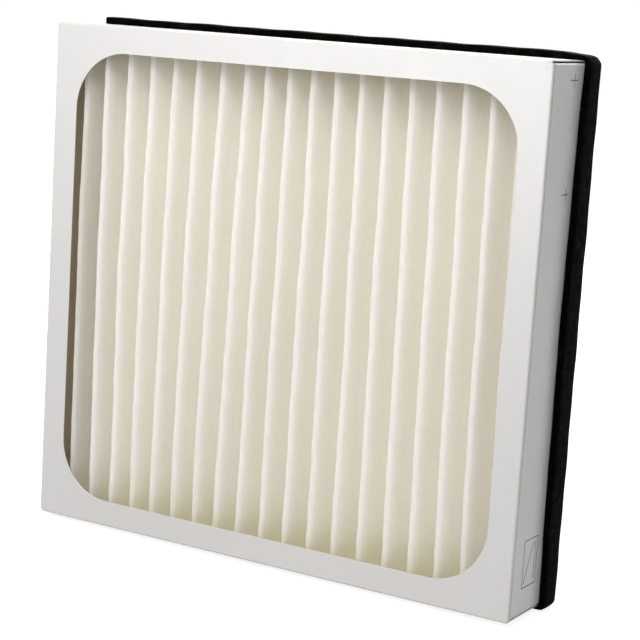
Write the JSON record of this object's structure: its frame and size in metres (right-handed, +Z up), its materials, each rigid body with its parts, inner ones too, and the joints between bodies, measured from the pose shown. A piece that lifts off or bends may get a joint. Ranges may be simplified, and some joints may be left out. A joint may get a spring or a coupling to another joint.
{
  "type": "pleated air filter panel",
  "caption": "Rectangular air filter panel: deep pleated filter paper in a folded white card frame with a round-cornered window and a foam seal round its back edge.",
  "frame": {"origin": "middle of the bottom of the whole panel, at the underside of the foam seal", "axes": "+X across the width, +Y from the window side to the back, +Z up along the pleats"},
  "size_m": [0.318, 0.052, 0.296],
  "materials": {
    "white_card": "white laminated card, semi-gloss",
    "filter_paper": "soft cream filter paper, matte",
    "hot_melt_glue": "set hot-melt glue, waxy",
    "black_foam": "open-cell black foam, matte"
  },
  "bodies": {
    "root": {"card_frame": "white_card", "pleated_media": "filter_paper", "glue_bed_top": "hot_melt_glue", "glue_bed_bottom": "hot_melt_glue", "foam_seal": "black_foam"}
  },
  "joints": []
}
